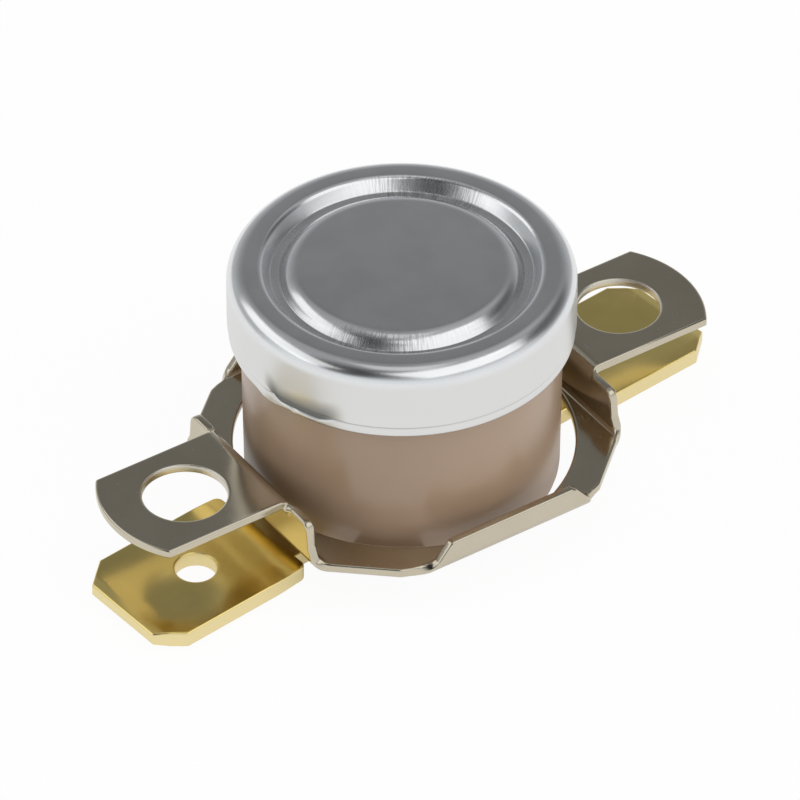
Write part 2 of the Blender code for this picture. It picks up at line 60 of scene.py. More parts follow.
TAB_Z, TAB_T, TAB_START, TAB_TIP, TAB_HALF_WIDTH = 0.6, 0.8, 1.898, 16.4, 3.15
NECK_END, NECK_HALF_WIDTH = 8.25, 2.35
TAB_HOLE_X, TAB_HOLE_R = 12.14, 0.95

# Rounding that the solids don't have, in millimetres
BRACKET_ROUNDING, TAB_ROUNDING, FOOT_ROUNDING = 0.12, 0.09, 0.8


# Materials


def add(tree, kind, **inputs):
    """A shader node; a keyword sets a socket, from a value or another node's socket, or else a property."""
    node = tree.nodes.new("ShaderNode" + kind)
    for key, value in inputs.items():
        name = key.replace("_", " ")
        if key.islower() and hasattr(node, key):
            setattr(node, key, value)
            continue
        socket = node.inputs[name] if name in node.inputs else node.inputs[int(key[1:])]
        if isinstance(value, bpy.types.NodeSocket):
            tree.links.new(value, socket)
        else:
            socket.default_value = value
    return node


def math_node(tree, operation, first, second=0.0, third=0.0):
    return add(tree, "Math", operation=operation, _0=first, _1=second, _2=third).outputs[0]


def mix(tree, factor, first, second):
    node = add(tree, "Mix", data_type="RGBA")
    for index, value in ((0, factor), (6, first), (7, second)):
        if isinstance(value, bpy.types.NodeSocket):
            tree.links.new(value, node.inputs[index])
        else:
            node.inputs[index].default_value = (*value, 1) if isinstance(value, tuple) else value
    return node.outputs[2]


def ramp(tree, value, low, high, bottom=0.0, top=1.0):
    """Maps low..high onto bottom..top, held at both ends."""
    node = add(tree, "MapRange", interpolation_type="SMOOTHSTEP", Value=value)
    for name, number in (("From Min", low), ("From Max", high), ("To Min", bottom), ("To Max", top)):
        node.inputs[name].default_value = number
    return node.outputs[0]


class Finish:
    """A Principled material whose coordinates are in millimetres."""

    def __init__(self, name, color, metallic, roughness, **constants):
        self.material = bpy.data.materials.new(name)
        self.material.use_nodes = True
        self.tree = self.material.node_tree
        self.shader = self.tree.nodes["Principled BSDF"]
        self.shader.inputs["Base Color"].default_value = (*color, 1)
        self.shader.inputs["Metallic"].default_value = metallic
        self.shader.inputs["Roughness"].default_value = roughness
        for key, value in constants.items():
            self.shader.inputs[key.replace("_", " ")].default_value = value
        place = add(self.tree, "TexCoord").outputs["Object"]
        self.mm = self.scaled(place, (1 / MM,) * 3)
        parts = add(self.tree, "SeparateXYZ", _0=self.mm)
        self.x, self.y, self.z = parts.outputs
        self.height = None

    def scaled(self, vector, factors):
        return add(self.tree, "VectorMath", operation="MULTIPLY", _0=vector, _1=factors).outputs[0]

    def noise(self, scale, detail=2.0, stretch=(1, 1, 1), distortion=0.0):
        vector = self.scaled(self.mm, stretch)
        return add(
            self.tree, "TexNoise", Vector=vector, Scale=scale, Detail=detail, Distortion=distortion
        ).outputs[0]

    def polar(self, along, across):
        """A vector that runs round the axis and outwards, for streaks that point at the axis."""
        angle = math_node(self.tree, "ARCTAN2", self.y, self.x)
        flat = self.scaled(self.mm, (1, 1, 0))
        radius = add(self.tree, "VectorMath", operation="LENGTH", _0=flat).outputs["Value"]
        around = math_node(self.tree, "MULTIPLY", angle, along)
        outward = math_node(self.tree, "MULTIPLY", radius, across)
        return add(self.tree, "CombineXYZ", _0=around, _1=outward, _2=0.0).outputs[0], radius, angle

    def bump(self, value, strength, distance):
        node = add(self.tree, "Bump", Height=value, Strength=strength, Distance=distance)
        if self.height:
            self.tree.links.new(self.height, node.inputs["Normal"])
        self.height = node.outputs[0]
        self.tree.links.new(self.height, self.shader.inputs["Normal"])

    def link(self, socket, name):
        self.tree.links.new(socket, self.shader.inputs[name])


def dent_shade_and_lip_masks(made):
    """0..1 masks above and below the crease of the cap's dent: the upper one is painted shade, strongest at
    the crease, and the lower one covers the lip under it.
    """
    tree = made.tree
    middle = math.radians(195)
    turned = add(tree, "VectorRotate", rotation_type="Z_AXIS", Vector=made.mm, Angle=-middle)
    parts = add(tree, "SeparateXYZ", _0=turned.outputs[0])
    angle = math_node(tree, "ARCTAN2", parts.outputs[1], parts.outputs[0])
    low, high = math.radians(-17), math.radians(15)
    crease = math_node(tree, "ADD", 9.18, ramp(tree, angle, low, math.radians(-8), 0.56, 0.0))
    crease = math_node(tree, "ADD", crease, ramp(tree, angle, math.radians(6), high, 0.0, 0.27))
    above = math_node(tree, "SUBTRACT", made.z, crease)
    left = ramp(tree, angle, low, math.radians(-11))
    right = ramp(tree, angle, math.radians(7), math.radians(17), 1.0, 0.0)
    beside = math_node(tree, "MULTIPLY", left, right)
    begun, faded = ramp(tree, above, -0.03, 0.02), ramp(tree, above, 0.0, 1.15, 1.0, 0.0)
    # The painted shade begins at the crease and fades out upwards
    painted_shade = math_node(tree, "MULTIPLY", begun, faded)
    lip = ramp(tree, above, -0.08, -0.03, 1.0, 0.0)
    return math_node(tree, "MULTIPLY", painted_shade, beside), math_node(tree, "MULTIPLY", lip, beside)


def aluminium_finish():
    made = Finish("drawn aluminium look", (0.77, 0.78, 0.785), 1.0, 0.2)
    tree = made.tree
    cloudy = made.noise(0.45, 3)
    streak_place, radius, angle = made.polar(24, 0.5)
    streaks = add(tree, "TexNoise", Vector=streak_place, Scale=2.6, Detail=3.0).outputs[0]
    inner = ramp(tree, radius, 4.8, 5.1)
    in_groove = math_node(tree, "MULTIPLY", inner, ramp(tree, radius, 6.3, 6.5, 1.0, 0.0))
    on_top = ramp(tree, made.z, 11.55, 11.9)
    in_groove = math_node(tree, "MULTIPLY", in_groove, on_top)
    # The scuffs lie mostly in two places, opposite each other
    doubled = math_node(tree, "COSINE", math_node(tree, "MULTIPLY_ADD", angle, 2.0, math.radians(-76)))
    in_groove = math_node(tree, "MULTIPLY", in_groove, ramp(tree, doubled, 0.5, 0.95, 0.1, 1.0))
    marks = math_node(tree, "MULTIPLY", ramp(tree, streaks, 0.42, 0.62), in_groove)
    rough = ramp(tree, cloudy, 0.3, 0.7, 0.19, 0.23)
    rough = math_node(tree, "ADD", rough, math_node(tree, "MULTIPLY", marks, 0.08))
    rough = math_node(tree, "ADD", rough, ramp(tree, made.z, 11.6, 12.3, 0.12, 0.0))
    tint = mix(tree, ramp(tree, cloudy, 0.35, 0.65), (0.765, 0.775, 0.78), (0.795, 0.805, 0.81))
    tint = mix(tree, math_node(tree, "MULTIPLY", marks, 0.55), tint, (0.28, 0.28, 0.29))
    tint = mix(tree, on_top, (0.75, 0.75, 0.74), tint)
    # A painted shadow line darkens the step between the side and the lip
    step = math_node(tree, "ABSOLUTE", math_node(tree, "SUBTRACT", made.z, 9.43))
    tint = mix(tree, ramp(tree, step, 0.02, 0.09, 0.4, 0.0), tint, (0.42, 0.42, 0.41))
    # The dent's upper mask paints shade into the colour, darkest at the crease and fading upwards; the lower
    # mask tints the lip under the dent a darker beige
    dent_shade, lip = dent_shade_and_lip_masks(made)
    tint = mix(tree, math_node(tree, "MULTIPLY", lip, 0.6), tint, (0.58, 0.56, 0.49))
    tint = mix(tree, math_node(tree, "MULTIPLY", dent_shade, 0.9), tint, (0.14, 0.145, 0.13))
    made.link(tint, "Base Color")
    made.link(math_node(tree, "ADD", rough, math_node(tree, "MULTIPLY", dent_shade, 0.25)), "Roughness")
    made.bump(made.noise(5, 2), 0.04, 0.02 * MM)
    made.bump(marks, 0.15, 0.006 * MM)
    return made.material


def moulding_finish():
    made = Finish("brown moulding look", (0.30, 0.20, 0.13), 0.0, 0.26, IOR=1.65)
    tree = made.tree
    cloudy = made.noise(0.22, 2)
    specks = made.noise(14, 2)
    tint = mix(tree, ramp(tree, cloudy, 0.25, 0.75), (0.33, 0.225, 0.145), (0.36, 0.25, 0.17))
    tint = mix(tree, ramp(tree, specks, 0.7, 0.78, 0.0, 0.25), tint, (0.17, 0.11, 0.07))
    made.link(tint, "Base Color")
    made.link(ramp(tree, cloudy, 0.25, 0.75, 0.27, 0.32), "Roughness")
    return made.material


def nickel_finish():
    made = Finish("nickel plate look", (0.55, 0.505, 0.425), 1.0, 0.15)
    tree = made.tree
    cloudy = made.noise(0.35, 3)
    specks = ramp(tree, made.noise(7, 2), 0.73, 0.78)
    near = add(tree, "VectorMath", operation="DISTANCE", _0=made.mm, _1=(7.3, -4.3, 2.55)).outputs["Value"]
    patchy = ramp(tree, made.noise(4, 3), 0.5, 0.6)
    rubbed = math_node(tree, "MULTIPLY", ramp(tree, near, 0.2, 0.7, 0.5, 0.0), patchy)
    marks = math_node(tree, "MAXIMUM", specks, rubbed)
    # The ears' punched holes have a pale, rougher wall
    centred = add(tree, "VectorMath", operation="SUBTRACT", _0=made.mm, _1=(*BRACKET_DRIFT, 0)).outputs[0]
    turned = add(tree, "VectorRotate", rotation_type="Z_AXIS", Vector=centred, Angle=-BRACKET_TURN).outputs[0]
    parts = add(tree, "SeparateXYZ", _0=turned)
    along = math_node(tree, "SUBTRACT", math_node(tree, "ABSOLUTE", parts.outputs[0]), EAR_HOLE_X)
    from_hole = add(tree, "CombineXYZ", _0=along, _1=parts.outputs[1])
    reach = add(tree, "VectorMath", operation="LENGTH", _0=from_hole.outputs[0]).outputs["Value"]
    punched = ramp(tree, reach, 1.95, 2.02, 1.0, 0.0)
    tint = mix(tree, ramp(tree, cloudy, 0.3, 0.7), (0.56, 0.505, 0.39), (0.59, 0.535, 0.42))
    tint = mix(tree, math_node(tree, "MULTIPLY", marks, 0.6), tint, (0.80, 0.78, 0.74))
    tint = mix(tree, punched, tint, (0.72, 0.68, 0.60))
    made.link(tint, "Base Color")
    rough = ramp(tree, cloudy, 0.3, 0.7, 0.13, 0.18)
    rough = math_node(tree, "ADD", rough, math_node(tree, "MULTIPLY", marks, 0.25))
    made.link(math_node(tree, "ADD", rough, math_node(tree, "MULTIPLY", punched, 0.25)), "Roughness")
    made.bump(made.noise(2.5, 3), 0.05, 0.03 * MM)
    return made.material


def brass_finish(name, color, edge):
    """Brass sheet: the faces are smooth and yellow, the cut edges paler."""
    pale = tuple(min(1.0, value * 1.05 + 0.02) for value in color)
    made = Finish(name, color, 1.0, 0.1)
    tree = made.tree
    cloudy = made.noise(0.4, 4)
    lines = made.noise(6, 3, (0.05, 1, 1))
    up = add(tree, "SeparateXYZ", _0=add(tree, "NewGeometry").outputs["Normal"]).outputs[2]
    side = ramp(tree, math_node(tree, "ABSOLUTE", up), 0.3, 0.8, 1.0, 0.0)
    tint = mix(tree, ramp(tree, cloudy, 0.3, 0.7), color, pale)
    tint = mix(tree, side, tint, edge)
    made.link(tint, "Base Color")
    rough = ramp(tree, cloudy, 0.3, 0.7, 0.17, 0.22)
    made.link(math_node(tree, "ADD", rough, math_node(tree, "MULTIPLY", side, 0.15)), "Roughness")
    made.bump(lines, 0.04, 0.02 * MM)
    return made.material


def plain_finish(name, color, metallic, roughness):
    made = Finish(name, color, metallic, roughness)
    made.bump(made.noise(4, 3), 0.08, 0.02 * MM)
    return made.material


# Shapes


def arc(centre, radius, start, end, steps):
    angles = [math.radians(start + (end - start) * i / steps) for i in range(steps + 1)]
    return [(centre[0] + radius * math.cos(a), centre[1] + radius * math.sin(a)) for a in angles]


def circle(centre, radius, steps):
    return arc(centre, radius, 0, 360, steps)[:-1]


def mirrored(half):
    return half + [(x, -y) for x, y in reversed(half) if abs(y) > 1e-9]


def piece_of(name, bm, material, smooth_angle=32):
    """A mesh object in metres, from a mesh in millimetres."""
    bmesh.ops.scale(bm, vec=(MM, MM, MM), verts=bm.verts)
    bmesh.ops.recalc_face_normals(bm, faces=bm.faces)
    mesh = bpy.data.meshes.new(name)
    bm.to_mesh(mesh)
    bm.free()
    mesh.shade_smooth()
    mesh.set_sharp_from_angle(angle=math.radians(smooth_angle))
    piece = bpy.data.objects.new(name, mesh)
    piece.data.materials.append(material)
    scene.collection.objects.link(piece)
    return piece


def turned_mesh(profile, steps, closed=False):
    """Rings of vertices about Z; a profile point on the axis is one vertex."""
    bm = bmesh.new()
    rings = []
    turns = [(math.cos(math.tau * i / steps), math.sin(math.tau * i / steps)) for i in range(steps)]
    for radius, height in profile:
        places = turns if radius > 1e-6 else [(0, 0)]
        rings.append([bm.verts.new((radius * x, radius * y, height)) for x, y in places])
    pairs = list(zip(rings, rings[1:] + rings[:1]))
    for lower, upper in pairs if closed else pairs[:-1]:
        for i in range(steps):
            j = (i + 1) % steps
            below = (lower[i % len(lower)], lower[j % len(lower)])
            above = (upper[j % len(upper)], upper[i % len(upper)])
            corners = list(dict.fromkeys(below + above))
            if len(corners) > 2:
                bm.faces.new(corners)
    return bm


def applied(piece):
    """Turns the piece's modifiers into mesh."""
    bpy.context.view_layer.update()
    changed = piece.evaluated_get(bpy.context.evaluated_depsgraph_get())
    mesh = bpy.data.meshes.new_from_object(changed)
    piece.modifiers.clear()
    piece.data = mesh
    return piece


def cut(piece, tools, operation="DIFFERENCE"):
    """Cuts the piece with the tools, or joins them to it, and removes them."""
    for tool in tools:
        change = piece.modifiers.new(tool.name, "BOOLEAN")
        change.operation, change.solver, change.object = operation, "EXACT", tool
    applied(piece)
    for tool in tools:
        bpy.data.objects.remove(tool)
    piece.data.set_sharp_from_angle(angle=math.radians(32))
    return piece


def weighed(piece):
    """Flat faces keep their own normals beside rounded edges."""
    change = piece.modifiers.new("weigh", "WEIGHTED_NORMAL")
    change.keep_sharp = True
    return applied(piece)


def block(name, low, high, material):
    bm = bmesh.new()
    bmesh.ops.create_cube(bm, size=1)
    for vert in bm.verts:
        vert.co = Vector([low[i] if vert.co[i] < 0 else high[i] for i in range(3)])
    return piece_of(name, bm, material)


def along_fold(length, over, bends):
    """(forward, up) of a point of a sheet folded at bends of (start, middle radius, angle)."""
    forward = up = heading = done = 0.0
    for start, radius, angle in bends:
        if length <= start:
            break
        forward += (start - done) * math.cos(heading)
        up += (start - done) * math.sin(heading)
        turned_by = math.copysign(min((length - start) / radius, abs(angle)), angle)
        side = math.copysign(radius, angle)
        forward += side * (math.sin(heading + turned_by) - math.sin(heading))
        up -= side * (math.cos(heading + turned_by) - math.cos(heading))
        heading += turned_by
        done = start + abs(turned_by) * radius
    forward += (length - done) * math.cos(heading) - over * math.sin(heading)
    up += (length - done) * math.sin(heading) + over * math.cos(heading)
    return forward, up


def bend_lines(bends, steps=14):
    lines = []
    for start, radius, angle in bends:
        length = radius * abs(angle)
        inside = [start + length * i / steps for i in range(steps + 1)]
        lines += [start - 0.06, *inside, start + length + 0.06]
    return lines


def counterclockwise(loop):
    """The loop without doubled points, turned round where it runs clockwise."""
    loop = [point for i, point in enumerate(loop) if math.dist(point, loop[i - 1]) > 1e-4]
    area = sum(loop[i - 1][0] * loop[i][1] - loop[i][0] * loop[i - 1][1] for i in range(len(loop)))
    return loop if area > 0 else loop[::-1]


def inset(loop, amount):
    """A counterclockwise loop moved inwards."""
    moved = []
    for i, (x, y) in enumerate(loop):
        after = loop[(i + 1) % len(loop)]
        back = Vector((x - loop[i - 1][0], y - loop[i - 1][1])).normalized()
        ahead = Vector((after[0] - x, after[1] - y)).normalized()
        inward = Vector((-back.y - ahead.y, back.x + ahead.x)).normalized()
        reach = amount / max(0.4, inward.dot((-back.y, back.x)))
        moved.append((x + inward.x * reach, y + inward.y * reach))
    return moved


def plate(name, outline, holes, thickness, rounding, material, shape, lines_x=(), lines_y=()):
    """A flat sheet with rounded rims, split along its bend lines and folded by shape."""
    bm = bmesh.new()
    turns = [math.radians(22.5 * i) for i in range(5)]
    rim = [(rounding * (1 - math.sin(a)), rounding * (1 - math.cos(a)) - thickness / 2) for a in turns]
    rim.insert(0, (rounding + 0.05, -thickness / 2))
    rim += [(inward, -height) for inward, height in reversed(rim)]
    faces = ([], [])
    for number, loop in enumerate([outline, *holes]):
        loop = counterclockwise(loop)
        rings = []
        for inward, height in rim:
            moved = inset(loop, -inward if number else inward)
            rings.append([bm.verts.new((x, y, height)) for x, y in moved])
        for below, above in zip(rings, rings[1:]):
            for i in range(len(loop)):
                bm.faces.new((below[i - 1], below[i], above[i], above[i - 1]))
        for ring, edges in ((rings[0], faces[0]), (rings[-1], faces[1])):
            edges += [bm.edges.get((ring[i - 1], ring[i])) for i in range(len(ring))]
    for edges in faces:
        bmesh.ops.triangle_fill(bm, edges=edges, use_beauty=True)
    for normal, lines in (((1, 0, 0), lines_x), ((0, 1, 0), lines_y)):
        for line in lines:
            every = bm.verts[:] + bm.edges[:] + bm.faces[:]
            place = [line * n for n in normal]
            bmesh.ops.bisect_plane(bm, geom=every, dist=1e-6, plane_co=place, plane_no=normal)
    for vert in bm.verts:
        vert.co = shape(*vert.co)
    return weighed(piece_of(name, bm, material))


# Pieces


def smooth(value, low, high):
    share = min(max((value - low) / (high - low), 0.0), 1.0)
    return share * share * (3 - 2 * share)


def cap_dent(angle, height):
    """How far the cap's outer wall is moved outwards at an angle in degrees, left of the front."""
    crease = 9.74 - 0.56 * smooth(angle, 178, 187) + 0.27 * smooth(angle, 201, 210)
    depth = 0.10 * smooth(angle, 179, 192) * (1 - smooth(angle, 203, 213))
    above = height - crease
    pressed = depth * smooth(above, -0.06, 0.02) * (1 - smooth(above, 0.02, 1.2))
    swell = 0.06 * smooth(angle, 172, 180) * (1 - smooth(angle, 182, 190))
    swell *= 1 - smooth(above, -0.35, 0.1)
    return swell - pressed


def cap_wear(point):
    """The pressed-in flaw above the lip, the swollen lip beside it and a chip on the lip's edge."""
    angle = math.degrees(math.atan2(point.y, point.x)) % 360
    radius = math.hypot(point.x, point.y)
    if radius < 7.4 or point.z > 11.3:
        return
    wave = 0.012 * math.sin(math.radians(angle * 2 + 40)) * smooth(10.4 - point.z, 0.0, 1.2)
    grown = (radius + cap_dent(angle, point.z) + wave) / radius
    point.x *= grown
    point.y *= grown
    if point.z < 9.3:
        swell = smooth(angle, 173, 180) * (1 - smooth(angle, 181, 189))
        chip = smooth(angle, 190.5, 191.5) * (1 - smooth(angle, 192.5, 193.5))
        point.z -= (0.10 * swell + 0.05 * chip) * (1 - smooth(point.z, 9.0, 9.3))


def groove_profile():
    """From the disc's edge through the groove to the rim's flat ring."""
    slope, depth = 53, 0.6
    shoulder, inner_fillet, outer_fillet, edge = 0.96, 0.06, 0.12, 0.36
    low = CAP_TOP_Z - depth
    points = arc((4.6, CAP_TOP_Z - 0.057 - shoulder), shoulder, 88.5, 90 - slope, 18)
    points += arc((5.56, low + inner_fillet), inner_fillet, 270 - slope, 270, 5)
    points += [(5.64, low - 0.004), (5.79, low - 0.004)]
    points += arc((5.88, low + outer_fillet), outer_fillet, -90, slope - 90, 6)
    return points + arc((6.55, CAP_TOP_Z - edge), edge, 90 + slope, 90, 12)


def make_cap(material):
    corner = (CAP_R - CAP_CORNER, CAP_TOP_Z - CAP_CORNER)
    # The disc is a very shallow dome
    radii = (0, 0.8, 1.6, 2.4, 3.2, 3.9, 4.5)
    disc = [(radius, CAP_TOP_Z - 0.06 * (radius / 4.7) ** 2) for radius in radii]
    outer = disc + groove_profile()
    outer += [(6.75, CAP_TOP_Z - 0.004)] + arc(corner, CAP_CORNER, 88, 0, 22)
    heights = [corner[1] - 0.12 * i for i in range(1, 12)]
    heights += [10.3 - 0.06 * i for i in range(9)] + [9.8 - 0.025 * i for i in range(13)]
    side = [(CAP_R, height) for height in heights]
    lip = [(7.893, 9.475), (7.868, 9.455), (7.843, 9.435), (7.832, 9.41), (7.836, 9.38)]
    drops = [0.025 * i for i in range(14)]
    lip += [(7.846 + 0.012 * math.sin(drop * 8), 9.35 - drop) for drop in drops]
    lip += [(7.842, 8.99), (7.825, 8.96), (7.79, 8.932), (7.73, LIP_Z)]
    inner = [(7.5, LIP_Z), (7.46, 8.97), (7.47, 9.1), (7.5, 9.3)]
    inner += [(CAP_INNER_R, 9.5), (CAP_INNER_R, 10.3)]
    inner += arc(corner, CAP_CORNER - CAP_WALL, 0, 90, 6)
    under = [(radius, height - CAP_WALL) for radius, height in reversed(disc + groove_profile()[::3])]
    bm = turned_mesh(outer + side + lip + inner + under, 440)
    for vert in bm.verts:
        cap_wear(vert.co)
    return piece_of("cap_shell", bm, material, 50)


def make_body(material):
    floor_z, collar_z = SEAT_Z + 1.5, COLLAR_Z + 0.1
    profile = [(0, floor_z), (CAVITY_R, floor_z), (CAVITY_R, RIM_Z), (COLLAR_R, RIM_Z)]
    profile += [(COLLAR_R, collar_z), (BODY_R, collar_z)]
    foot = (BODY_FOOT_R - FOOT_ROUNDING, FOOT_Z + FOOT_ROUNDING)
    profile += arc(foot, FOOT_ROUNDING, 0, -90, 8) + [(0, FOOT_Z)]
    body = piece_of("body_moulding", turned_mesh(profile, 240), material)
    nibs = []
    for number, turn in enumerate((45, 225)):
        low, high = (6.7, -NIB_HALF_WIDTH, SEAT_Z), (NIB_REACH, NIB_HALF_WIDTH, SEAT_Z + NIB_HEIGHT)
        nib = block(f"nib_{number}", low, high, material)
        nib.rotation_euler.z = math.radians(turn)
        nibs.append(nib)
    cut(body, nibs, "UNION")
    tools = []
    for side in (-1, 1):
        low, high = sorted((side * (TAB_START - 0.1), side * NECK_END))
        tools.append(block("neck_slot", (low, -2.45, 0.5), (high, 2.45, SEAT_Z), material))
        drill = [(0, 0.6), (RIVET_HOLE_R, 0.6), (RIVET_HOLE_R, 4.6), (0, 4.6)]
        hole = piece_of("rivet_hole", turned_mesh(drill, 64), material)
        hole.location.x = side * RIVET_X * MM
        tools.append(hole)
    return cut(body, tools)


def tab_outline():
    half = arc((TAB_START + 0.8, NECK_HALF_WIDTH - 0.8), 0.8, 180, 90, 10)
    half += [(NECK_END, NECK_HALF_WIDTH)]
    half += arc((NECK_END + 0.35, TAB_HALF_WIDTH - 0.35), 0.35, 180, 90, 8)
    half += arc((15.25 - 0.15, TAB_HALF_WIDTH - 0.15), 0.15, 90, 42, 4)
    half += [(TAB_TIP, 2.15)]
    return mirrored(half)


def make_tab(name, side, material):
    def shape(along, across, over):
        """Thins the tip; the left tab rolls and droops a little, the right tab's near edge is raised."""
        over *= 1 - 0.25 * max(0.0, along - 15.8) / 0.6
        if side < 0:
            over += 0.03 * across * smooth(along, 8, 10) - 0.02 * max(0.0, along - 9)
            over -= 0.04 * smooth(-across, 1.9, 3.2) * smooth(along, 8, 10)
        else:
            over += 0.15 * smooth(-across, 0.5, 3.2) * smooth(along, 8, 9)
        return side * along, across, TAB_Z + TAB_T / 2 + over

    holes = [circle((RIVET_X, 0), RIVET_HOLE_R, 64), circle((TAB_HOLE_X, 0), TAB_HOLE_R, 96)]
    lines_x = [8.0, 8.5, 9.0, 9.5, 10.0, 11.0, 13.3, 14.2, 15.0, 15.8, 16.0, 16.2]
    lines_y = [0.5, 0, -0.5, -0.9, -1.3, -1.6, -1.9, -2.1, -2.3, -2.5, -2.7, -2.9]
    return plate(name, tab_outline(), holes, TAB_T, TAB_ROUNDING, material, shape, lines_x, lines_y)


def rounded(corners):
    """A path through (x, y, radius) corners, each replaced by an arc of that radius."""
    path = []
    for i, (x, y, radius) in enumerate(corners):
        here = Vector((x, y))
        if radius == 0 or i in (0, len(corners) - 1):
            path.append((x, y))
            continue
        back = (Vector(corners[i - 1][:2]) - here).normalized()
        ahead = (Vector(corners[i + 1][:2]) - here).normalized()
        half = math.acos(max(-1.0, min(1.0, back.dot(ahead)))) / 2
        reach = radius / math.tan(half)
        start, stop = here + back * reach, here + ahead * reach
        for step in range(9):
            t = step / 8
            point = start * (1 - t) ** 2 + here * 2 * t * (1 - t) + stop * t * t
            path.append((point.x, point.y))
    return path


def bracket_outline():
    """The flat blank. One quarter runs from the ear's tip round to the flange's middle."""
    low_bend, high_bend, side_bend = 0.45, 0.5, 0.42
    wall_start = WALL_REACH - SHEET / 2 - low_bend
    low_turn, high_turn = low_bend * math.pi / 2, high_bend * math.pi / 2
    straight = EAR_RISE - low_bend - high_bend
    top_start = wall_start + low_turn + straight
    walls = [(wall_start, low_bend, math.pi / 2), (top_start, high_bend, -math.pi / 2)]
    flanges = [(FLANGE_REACH - SHEET / 2 - side_bend, side_bend, math.pi / 2)]
    spare = low_turn + straight + high_turn - low_bend - high_bend
    ear_corner = EAR_HOLE_X + 2.8 + spare
    arc_radius = (EAR_HALF_WIDTH**2 + 1) / 2
    arc_angle = math.degrees(math.asin(EAR_HALF_WIDTH / arc_radius))
    fold = flanges[0][0]
    flange_end = fold + side_bend * (math.pi / 2 - 1) + FLANGE_HEIGHT - SHEET / 2
    nub = top_start + 0.5
    quarter = arc((ear_corner + 1 - arc_radius, 0), arc_radius, 0, arc_angle - 0.8, 26)
    quarter += rounded([
        (ear_corner - 0.03, EAR_HALF_WIDTH, 0),
        (nub, EAR_HALF_WIDTH, 0.13),
        (nub, 4.78, 0.6),
        (9.0, 4.9, 0.4),
        (8.38, 5.2, 0.3),
        (5.45, fold - 0.15, 0.7),
        (4.6, fold + 0.2, 0.5),
        (4.1, fold + 0.65, 0.5),
        (3.35, flange_end, 0.4),
        (0.0, flange_end, 0),
    ])
    upper = quarter + [(-x, y) for x, y in reversed(quarter[:-1])]
    return mirrored(upper), spare, walls, flanges


def make_bracket(material):
    outline, spare, walls, flanges = bracket_outline()

    def shape(along, across, over):
        if abs(across) > flanges[0][0]:
            forward, up = along_fold(abs(across), over, flanges)
            along += 0.2 * smooth(-across, flanges[0][0], flanges[0][0] + 0.6)
            place = Vector((along, math.copysign(forward, across), SHEET / 2 + up))
        else:
            # Beside the ear's upper bend the wall stays upright
            bent = Vector(along_fold(abs(along), over, walls))
            upright = Vector(along_fold(abs(along), over, walls[:1]))
            forward, up = bent.lerp(upright, smooth(abs(across), 3.08, 3.5))
            place = Vector((math.copysign(forward, along), across, SHEET / 2 + up))
        place.rotate(Matrix.Rotation(BRACKET_TURN, 3, "Z"))
        return place + Vector((*BRACKET_DRIFT, BRACKET_Z))

    holes = [circle((0, 0), RING_HOLE_R, 240)]
    holes += [circle((side * (EAR_HOLE_X + spare), 0), EAR_HOLE_R, 96) for side in (-1, 1)]
    lines_x = [side * line for side in (-1, 1) for line in bend_lines(walls)]
    lines_y = [side * line for side in (-1, 1) for line in bend_lines(flanges)]
    lines_y += [side * line for side in (-1, 1) for line in (3.1, 3.2, 3.3, 3.4, 3.5)]
    return plate(
        "bracket_sheet", outline, holes, SHEET, BRACKET_ROUNDING, material, shape, lines_x, lines_y
    )


def make_rivet(name, side, roll_z, material):
    """A hollow rivet with a flat head below and its rolled end at roll_z."""
    head = arc((RIVET_HEAD_R - 0.35, 0.35), 0.35, 270, 360, 8)
    profile = arc((0.75, 0.15), 0.15, 180, 270, 6) + head
    profile += [(RIVET_HEAD_R, 0.45), (1.85, 0.5), (1.1, 0.5), (1.1, roll_z), (1.3, roll_z)]
    profile += arc((1.15, roll_z + 0.15), 0.15, 0, 90, 6) + arc((0.75, roll_z + 0.15), 0.15, 90, 180, 6)
    bm = turned_mesh(profile, 96, closed=True)
    for vert in bm.verts:
        vert.co.x += side * RIVET_X
    return piece_of(name, bm, material)


def dress_inside():
    """The sealed inner pieces keep their solids and get a plain finish."""
    looks = {
        "bimetal_disc": plain_finish("bimetal look", (0.55, 0.5, 0.44), 1.0, 0.35),
        "disc_guide": plain_finish("dark moulding look", (0.09, 0.07, 0.06), 0.0, 0.5),
        "transfer_pin": plain_finish("ceramic look", (0.82, 0.8, 0.75), 0.0, 0.5),
        "moving_contact": plain_finish("silver look", (0.85, 0.84, 0.81), 1.0, 0.25),
    }
    looks["fixed_contact"] = looks["moving_contact"]
    looks["fixed_contact_strip"] = bpy.data.materials["terminal brass look"]
    for node, material in looks.items():
        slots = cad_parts[node].data.materials
        slots.clear()
        slots.append(material)


def make_arm(material):
    """The spring strip between its rivet and the contact that it carries, copied from its solid with a finish
    of its own.
    """
    arm = bpy.data.objects.new("spring_arm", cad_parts["contact_arm"].data.copy())
    scene.collection.objects.link(arm)
    arm.data.materials.clear()
    arm.data.materials.append(material)
    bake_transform(arm)
    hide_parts("contact_arm")


def dress(piece, body, node):
    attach(piece, body)
    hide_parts(node)


def make_pieces():
    brass = brass_finish("terminal brass look", (0.90, 0.71, 0.25), (0.84, 0.71, 0.38))
    rivet_brass = brass_finish("rivet brass look", (0.80, 0.65, 0.36), (0.80, 0.68, 0.42))
    dress(make_cap(aluminium_finish()), "housing", "sensing_cap")
    dress(make_body(moulding_finish()), "housing", "base_housing")
    dress(make_bracket(nickel_finish()), "bracket", "mounting_bracket")
    dress(make_tab("tab_left", -1, brass), "housing", "terminal_left")
    dress(make_tab("tab_right", 1, brass), "housing", "terminal_right")
    dress(make_rivet("rivet_head_left", -1, 3.45, rivet_brass), "housing", "rivet_left")
    dress(make_rivet("rivet_head_right", 1, 3.6, rivet_brass), "housing", "rivet_right")
    make_arm(plain_finish("spring bronze look", (0.72, 0.45, 0.28), 1.0, 0.3))
    dress_inside()


# Stage, light and camera

